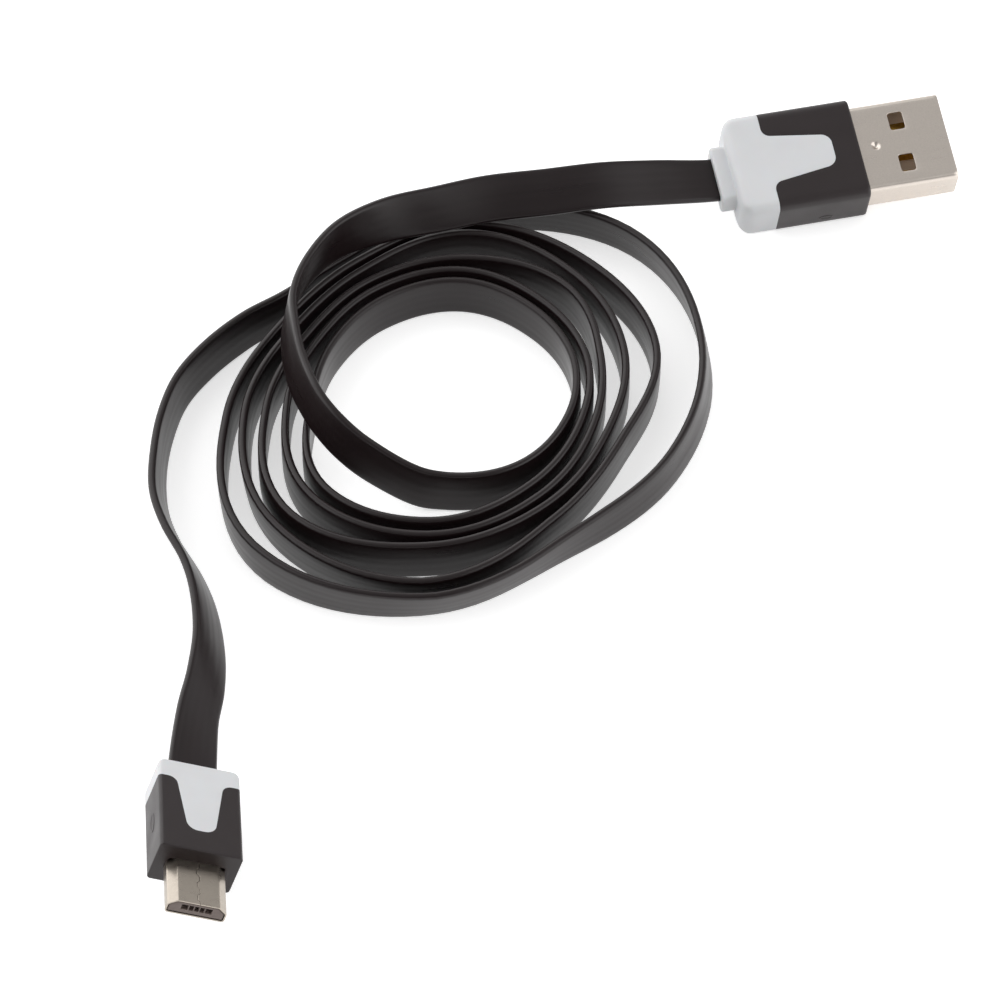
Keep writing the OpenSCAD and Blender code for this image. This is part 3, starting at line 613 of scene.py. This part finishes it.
def type_a_shell_piece(finish):
    """The type A shell: folded sheet with four windows, a round dimple and a seam underneath.
    The dimple is a paraboloid: its depth is one less the squared share of the way out from its
    middle. The corners of each window are pulled towards its middle, which blunts them."""
    half_w, half_t, bend, sheet, reach, seam = 6.0, 2.25, 0.6, 0.3, 12.0, 0.05
    window_x, window_y, window_l, window_w = 5.8, 3.1, 2.0, 2.5
    dimple_x, dimple_r, dimple_depth, dimple_rim = 2.3, 0.7, 0.32, 0.1
    ease, pull = 0.28, 0.09
    # Half the outline, from the seam under the shell round to the middle of its top
    near, beyond = window_y - window_w / 2, window_y + window_w / 2
    sides = [near, near + ease, 2.6, 3.1, 3.6, beyond - ease, beyond, 4.9, half_w - bend]
    low = np.array([seam, 0.5, 0.9, 1.4, *sides])
    top = np.unique([*sides, *np.linspace(0, dimple_r + dimple_rim, 9), 1.1, 1.4])[::-1]
    corner_y, corner_z = half_w - bend, half_t - bend
    outline = both_halves(half_outline([
        np.stack([low, np.full(len(low), -half_t)], axis=1),
        arc_points((corner_y, -corner_z), bend, -90, 0, 6),
        np.stack([np.full(5, half_w), np.linspace(-corner_z, corner_z, 5)], axis=1),
        arc_points((corner_y, corner_z), bend, 0, 90, 6),
        np.stack([top, np.full(len(top), half_t)], axis=1),
    ]))
    low_x, high_x = window_x - window_l / 2, window_x + window_l / 2
    round_dimple = dimple_x + np.linspace(-dimple_r - dimple_rim, dimple_r + dimple_rim, 17)
    xs = np.unique(np.round([
        -LIP - 0.6, 0, 0.7, 1.3, 3.4, 4.1, low_x, low_x + ease, 5.4, 6.2, high_x - ease, high_x,
        7.6, 8.6, 9.6, 10.6, 11.4, reach, *round_dimple,
    ], 4))[::-1]
    grid = sheet_grid(xs, outline)
    # Windows
    middle = np.abs(centres(grid) - [window_x, 0, 0])
    in_window = (
        (middle[..., 0] < window_l / 2) & (np.abs(middle[..., 1] - window_y) < window_w / 2)
        & (np.abs(middle[..., 2] - half_t) < TOUCH)
    )
    x, y, z = np.moveaxis(grid, -1, 0)
    from_x, from_y = x - window_x, np.abs(y) - window_y
    on_corner = (
        (np.abs(np.abs(from_x) - window_l / 2) < TOUCH)
        & (np.abs(np.abs(from_y) - window_w / 2) < TOUCH) & (np.abs(np.abs(z) - half_t) < TOUCH)
    )
    pulled_x = np.where(on_corner, pull * np.sign(from_x), 0)
    pulled_y = np.where(on_corner, pull * np.sign(y) * np.sign(from_y), 0)
    x, y = x - pulled_x, y - pulled_y
    # Dimple
    hollow = np.clip(1 - (np.hypot(x - dimple_x, y) / dimple_r) ** 2, 0, 1)
    z = z - np.where(z > half_t - TOUCH, dimple_depth * hollow, 0)
    spots = placed(np.stack([x, y, z], axis=-1), A_AT, A_TURN)
    piece = surface("type_a_shell_skin", spots, around=False, keep=~in_window)
    finished(piece, finish, wall=sheet * MM, bevel=0.06 * MM)
    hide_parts("type_a_shell")


def micro_shell_piece(finish):
    """The micro shell: folded sheet, chamfered along its narrow side, with a dovetailed seam
    down the middle and a slot for each latch in the wide side. The seam's teeth are a sine
    wave along X, steepened and cut off at one, and they fade out to either side of it."""
    half_w, half_t, chamfer, bend = 3.425, 0.925, (0.95, 0.75), 0.22
    sheet, reach = 0.18, 6.8
    latch_y, slot_w, slot_x = 2.45, 0.65, (4.1, 5.1)
    seam, tooth, pitch, steep, fade = 0.03, 0.16, 2.1, 2.2, 1.2
    # Half the outline, from the seam round to the middle of the wide side
    slope = math.degrees(math.atan2(chamfer[0], chamfer[1]))
    low_k, high_k = (bend * math.tan(math.radians(a / 2)) for a in (slope, 90 - slope))
    ridge_y, shoulder_z = half_w - chamfer[0], half_t - chamfer[1]
    top = np.array([seam, 0.15, 0.3, 0.6, 1.0, 1.5, 2.0, ridge_y - high_k])
    low = np.array([half_w - bend, latch_y + slot_w / 2, latch_y - slot_w / 2, 1.4, 0.7, 0])
    outline = both_halves(half_outline([
        np.stack([top, np.full(len(top), half_t)], axis=1),
        arc_points((ridge_y - high_k, half_t - bend), bend, 90, slope, 3),
        arc_points((half_w - bend, shoulder_z - low_k), bend, slope, 0, 3),
        arc_points((half_w - bend, bend - half_t), bend, 0, -90, 5),
        np.stack([low, np.full(len(low), -half_t)], axis=1),
    ]))
    along = np.arange(0, reach, pitch / 12)
    xs = np.unique(np.round([-LIP - 0.4, *slot_x, reach, *along], 4))[::-1]
    grid = sheet_grid(xs, outline)
    # Slots for the latches
    middle = centres(grid)
    in_slot = (
        (np.abs(middle[..., 0] - np.mean(slot_x)) < (slot_x[1] - slot_x[0]) / 2)
        & (np.abs(np.abs(middle[..., 1]) - latch_y) < slot_w / 2)
        & (middle[..., 2] < TOUCH - half_t)
    )
    # Teeth of the seam
    wave = np.clip(steep * np.sin(2 * math.pi * grid[..., 0] / pitch), -1, 1)
    weight = np.clip(1 - np.abs(grid[..., 1]) / fade, 0, 1)
    grid[..., 1] += np.where(grid[..., 2] > half_t - TOUCH, tooth * wave * weight, 0)
    spots = placed(grid, M_AT, M_TURN)
    piece = surface("micro_shell_skin", spots[:, ::-1], around=False, keep=~in_slot[:, ::-1])
    finished(piece, finish, wall=sheet * MM, bevel=0.04 * MM)
    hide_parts("micro_shell")


def micro_face_piece(finish):
    """The micro insulator's end face in the shell's mouth, with a slot for each of the five
    contacts. Its half width at height z is the shell's, half-way through its wall: the lesser
    of its side and of the chamfer's line, (start - rise z) / run."""
    face_x, depth, side, (start, rise, run) = 6.73, 0.45, 3.3, (2.12, 0.785, 0.62)
    rib, pitch, reach, low, high = 0.14, 0.65, 1.85, -0.28, 0.5
    z = np.array([-0.8, -0.7, -0.5, low, -0.1, 0.1, 0.3, high, 0.6, 0.7, 0.8])
    half = np.minimum(side, (start - rise * z) / run)
    ribs = pitch * np.array([-1.5, -0.5, 0.5, 1.5])
    y = np.sort(np.concatenate([[-reach, reach], ribs - rib / 2, ribs + rib / 2]))
    grid = np.empty((len(z), len(y) + 2, 3))
    grid[..., 0] = face_x
    grid[:, 1:-1, 1] = y
    grid[:, 0, 1], grid[:, -1, 1] = -half, half
    grid[..., 2] = z[:, None]
    middle = centres(grid)
    in_rib = np.abs(middle[..., 1, None] - ribs).min(axis=-1) < rib / 2
    in_reach = (np.abs(middle[..., 1]) < reach) & (middle[..., 2] > low) & (middle[..., 2] < high)
    spots = placed(grid, M_AT, M_TURN)
    piece = surface("micro_insulator_face", spots, around=False, keep=in_rib | ~in_reach)
    finished(piece, finish, wall=depth * MM, bevel=0.03 * MM)


# ---------------------------------------------------------------- operators
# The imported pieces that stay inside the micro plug, and the new ones round them
MICRO_INSIDE = (
    "micro_insulator", "micro_inner_mould", "micro_latch_left", "micro_latch_right",
    *(f"micro_contact_{number}" for number in range(1, 6)),
    *(f"micro_core_{number}" for number in range(1, 5)),
)
MICRO_SKINS = ("cover_skin", "gate_mark", "collar_skin", "shell_skin", "insulator_face")
# Insulation of the cores, in the order of their numbers
CORE_TONES = {"red": "#b22222", "white": "#dcdcdc", "green": "#2e8b57", "black": "#2b2b2b"}
SENSOR = 36.0  # width of the camera's sensor


class CABLE_OT_camera(bpy.types.Operator):
    """Places the camera"""

    bl_idname = "cable.camera"
    bl_label = "Camera"

    def execute(self, context):
        studio = context.scene.cable_studio
        data = bpy.data.cameras.new("camera")
        data.lens, data.sensor_width = studio.lens, SENSOR
        data.clip_start, data.clip_end = 0.05, 20.0
        camera = bpy.data.objects.new("camera", data)
        camera.location = studio.eye
        sight = Vector(studio.target) - Vector(studio.eye)
        camera.rotation_euler = sight.to_track_quat("-Z", "Y").to_euler()
        context.scene.collection.objects.link(camera)
        context.scene.camera = camera
        return {"FINISHED"}


class CABLE_OT_cord(bpy.types.Operator):
    """Makes the flat cord, from the type A plug through its coil to the micro plug"""

    bl_idname = "cable.cord"
    bl_label = "Flat cord"

    def execute(self, context):
        settings = context.scene.cable_cord
        width, thick, edge, relief, bow = (
            getattr(settings, name) / MM
            for name in ("width", "thickness", "edge", "relief", "bow")
        )
        way = cord_route(width)
        across, through = cord_axes(way)
        section = jacket_section(width, thick, edge, relief, bow)[::-1]
        spots = (
            way[:, None, :3]
            + section[None, :, :1] * across[:, None] + section[None, :, 1:] * through[:, None]
        )
        piece = surface("flat_cord", spots, caps=("first", "last"))
        self.unroll(piece, way, section)
        vinyl = extruded_jacket("extruded matt vinyl jacket", settings.jacket)
        finished(piece, vinyl)
        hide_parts("type_a_lead", "coil", "micro_lead")
        return {"FINISHED"}

    def unroll(self, piece, way, section):
        """The UV map of the cord: U is the way along it and V the way round it, in metres."""
        step = np.linalg.norm(np.diff(way[:, :3], axis=0), axis=1)
        girth = np.linalg.norm(section - np.roll(section, -1, axis=0), axis=1)
        run, around = (np.concatenate([[0], np.cumsum(part)]) for part in (step, girth))
        u = np.stack([run[:-1], run[:-1], run[1:], run[1:]], axis=1)[:, None, :]
        v = np.stack([around[:-1], around[1:], around[1:], around[:-1]], axis=1)[None, :, :]
        sides = np.stack(np.broadcast_arrays(u, v), axis=-1).reshape(-1, 2) * MM
        uv = np.zeros((len(piece.data.loops), 2))
        uv[: len(sides)] = sides
        piece.data.uv_layers.new(name="run").data.foreach_set("uv", uv.ravel())


class CABLE_OT_mouldings(bpy.types.Operator):
    """Makes both plugs' black covers and white collars"""

    bl_idname = "cable.mouldings"
    bl_label = "Covers and collars"

    def execute(self, context):
        settings = context.scene.cable_plugs
        finishes = {
            # As black and warm as the jacket, with a mould's grain that takes off the shine
            "cover": moulded("moulded matt black plastic", settings.cover, 0.42, 0.11, 0.3),
            # Filled white: smoother, with a soft edge to its shadows from the light under its skin
            "collar": moulded(
                "moulded satin white plastic", settings.collar, 0.45, 0.14, 0.15, subsurface=0.08
            ),
        }
        moulding(
            "type_a", size=(17.2, 14.4, 7.0, 1.2, 1.8), cover=(3.5, 12.3),
            tongue=(4.4, 7.0, 1.2, 1.0), hole=(6.03, 2.28, 0.62), neck=(4.2, 1.7, 0.8, 1.9),
            at=A_AT, turn=A_TURN, finishes=finishes,
        )
        moulding(
            "micro", size=(14.5, 10.1, 5.95, 0.45, 1.0), cover=(3.3, 11.6),
            tongue=(3.3, 5.8, 1.2, 1.0), hole=(3.46, 0.96, 0.3), neck=(3.8, 1.3, 0.8, 0.3),
            at=M_AT, turn=M_TURN, finishes=finishes,
        )
        gate_mark("type_a", (-5.7, -7.2, -1.4), 0.95, 0.45, A_AT, A_TURN, finishes["cover"])
        gate_mark("micro", (-6.2, -5.05, 0.0), 1.5, 0.7, M_AT, M_TURN, finishes["cover"])
        return {"FINISHED"}


class CABLE_OT_shells(bpy.types.Operator):
    """Makes both plugs' metal shells"""

    bl_idname = "cable.shells"
    bl_label = "Shells"

    def execute(self, context):
        settings = context.scene.cable_plugs
        # Nickel is pale and a little warm, and reflects the room softly
        type_a_shell_piece(plated("satin nickel plated steel", settings.plating, 0.3, 0.03))
        # Tin is greyer, and its sheen is more uneven
        micro_shell_piece(plated("satin tin plated steel", settings.tin, 0.32, 0.06))
        return {"FINISHED"}


class CABLE_OT_inside(bpy.types.Operator):
    """Gives the pieces inside the plugs their finishes"""

    bl_idname = "cable.inside"
    bl_label = "Inner pieces"

    def execute(self, context):
        settings = context.scene.cable_plugs
        # Gold plating is warm and the smoothest of the metals, and spring steel is bright
        gold = plated("gold plated contact", settings.gold, 0.22, 0.04)
        spring = plated("stamped spring steel", settings.plating, 0.26, 0.04)
        # Insulators are filled plastic: satin, in dull natural tones
        taupe = moulded("moulded taupe insulator", linear("#c6b09b"), 0.4, 0.12, 0.15)
        insulator = moulded("moulded dark grey insulator", settings.insulator, 0.4, 0.12, 0.15)
        # Potting is unpigmented, off-white and matt, and the cores' insulation is plain and satin
        natural = moulded("natural potting", linear("#d6d5cc"), 0.5, 0.2, 0.2)
        cores = [
            moulded(f"core insulation {tone}", linear(code), 0.4, 0.2, 0.1)
            for tone, code in CORE_TONES.items()
        ]
        finishes = {
            "insulator": insulator, "inner_mould": natural,
            "latch_left": spring, "latch_right": spring,
        }
        for name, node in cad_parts.items():
            part = name.removeprefix("type_a_").removeprefix("micro_")
            if name == "type_a_insulator":
                finish = taupe
            elif part.startswith("contact"):
                finish = gold
            elif part.startswith("core"):
                finish = cores[int(part[-1]) - 1]
            elif part in finishes:
                finish = finishes[part]
            else:
                continue
            node.data.materials.clear()
            node.data.materials.append(finish)
        micro_face_piece(insulator)
        return {"FINISHED"}


class CABLE_OT_free_cord(bpy.types.Operator):
    bl_idname = "cable.free_cord"
    bl_label = "Free cord"

    def execute(self, context):
        width = context.scene.cable_cord.width
        path = cord_route(width / MM)[:, :3] * MM
        plug = [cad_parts[name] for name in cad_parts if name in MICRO_INSIDE]
        plug += [bpy.data.objects[f"micro_{part}"] for part in MICRO_SKINS]
        return {"FINISHED"}


# Each lamp's name, place, width and share of a soft box's power. All face the middle
LAMPS = (
    ("left soft box", (-0.65, 0.1, 0.45), 0.8, 0.85),
    ("back soft box", (-0.2, 0.65, 0.45), 0.8, 1.0),
    ("right soft box", (0.6, -0.35, 0.3), 0.8, 1.0),
    ("low soft box", (-0.55, 0.45, 0.14), 0.25, 0.15),
)
PAPER = 0.86  # share of the light that the paper throws back
GLOW = 0.58  # the paper's own light, where 1 is white
FRONT = 0.35  # share of the surroundings' light that comes from the open front
FRONT_TO, ROOM_FROM = -0.9, -0.2  # Y of a direction up to which, and from which, each counts


class CABLE_OT_stage(bpy.types.Operator):
    """Makes the floor with its backdrop, the lamps and the surroundings"""

    bl_idname = "cable.stage"
    bl_label = "Stage"

    def execute(self, context):
        studio = context.scene.cable_studio
        self.floor()
        for name, place, size, share in LAMPS:
            light = bpy.data.lights.new(name, "AREA")
            light.shape, light.size, light.energy = "SQUARE", size, studio.side * share
            lamp = bpy.data.objects.new(name, light)
            lamp.location = place
            lamp.rotation_euler = (-Vector(place)).to_track_quat("-Z", "Y").to_euler()
            context.scene.collection.objects.link(lamp)
        self.surroundings(context.scene, studio.air)
        context.scene.view_settings.view_transform = "Standard"
        return {"FINISHED"}

    def floor(self):
        """A round sheet of paper, flat to 1.5 m from its middle and then curved up as a backdrop
        on all sides: its profile is a line and a quarter circle of 0.5 m, carried round Z."""
        flat, rise = 1500.0, 500.0
        inner = np.array([100.0, 500.0, 1000.0])
        bend = np.linspace(0, math.pi / 2, 13)
        reach = np.concatenate([inner, flat + rise * np.sin(bend)])[:, None]
        height = np.concatenate([0 * inner, rise * (1 - np.cos(bend))])[:, None]
        way = -np.linspace(0, 2 * math.pi, 96, endpoint=False)[None, :]
        x, y = reach * np.cos(way), reach * np.sin(way)
        grid = np.stack(np.broadcast_arrays(x, y, height), axis=-1)
        floor = surface("floor", grid, caps=("first",))
        floor.data.materials.append(self.paper())
        return floor

    def paper(self):
        """Matt white paper: it takes the object's shadow, and a little light of its own brings
        the open floor up to white for the camera, in reflections and through glass."""
        material, tree = new_material("matt white paper")
        path = add(tree, "LightPath").outputs
        seen = path["Is Camera Ray"]
        for ray in ("Is Glossy Ray", "Is Transmission Ray"):
            seen = add(tree, "Math", {0: seen, 1: path[ray]}, operation="MAXIMUM").outputs[0]
        strength = add(tree, "Math", {0: seen, 1: GLOW}, operation="MULTIPLY")
        matt = add(tree, "BsdfDiffuse", {"Color": (PAPER, PAPER, PAPER, 1.0)})
        glow = add(tree, "Emission", {"Color": WHITE, "Strength": strength.outputs[0]})
        both = add(tree, "AddShader", {0: matt.outputs[0], 1: glow.outputs[0]})
        add(tree, "OutputMaterial", {"Surface": both.outputs[0]})
        return material

    def surroundings(self, scene, air):
        """Even light from above the backdrop, dimmer from the front, where the room lies open."""
        world = bpy.data.worlds.new("surroundings")
        world.use_nodes = True
        tree = world.node_tree
        tree.nodes.clear()
        way = add(tree, "SeparateXYZ", {0: add(tree, "TexCoord").outputs["Generated"]})
        strength = add(
            tree, "MapRange",
            {0: way.outputs["Y"], 1: FRONT_TO, 2: ROOM_FROM, 3: FRONT * air, 4: air},
        )
        sky = add(tree, "Background", {"Color": WHITE, "Strength": strength.outputs[0]})
        add(tree, "OutputWorld", {"Surface": sky.outputs[0]})
        scene.world = world


class CABLE_PT_panel(bpy.types.Panel):
    """Lists the steps that make the cable"""

    bl_idname = "CABLE_PT_panel"
    bl_label = "Flat charging cable"
    bl_space_type = "VIEW_3D"
    bl_region_type = "UI"
    bl_category = "Cable"

    def draw(self, context):
        for step in OPERATORS:
            self.layout.operator(step.bl_idname)


OPERATORS = (
    CABLE_OT_camera, CABLE_OT_cord, CABLE_OT_mouldings, CABLE_OT_shells, CABLE_OT_inside,
    CABLE_OT_free_cord, CABLE_OT_stage,
)
SETTINGS = {"cable_cord": CordSettings, "cable_plugs": PlugSettings, "cable_studio": StudioSettings}


def register():
    """Registers the settings, the operators and the panel."""
    for kind in (*SETTINGS.values(), *OPERATORS, CABLE_PT_panel):
        bpy.utils.register_class(kind)
    for name, kind in SETTINGS.items():
        setattr(bpy.types.Scene, name, bpy.props.PointerProperty(type=kind))


def unregister():
    """Takes them out again."""
    for name in SETTINGS:
        delattr(bpy.types.Scene, name)
    for kind in (CABLE_PT_panel, *reversed(OPERATORS), *reversed(SETTINGS.values())):
        bpy.utils.unregister_class(kind)


def main():
    """Makes the cable."""
    register()
    for step in OPERATORS:
        group, name = step.bl_idname.split(".")
        getattr(getattr(bpy.ops, group), name)()


if __name__ == "__main__":
    main()
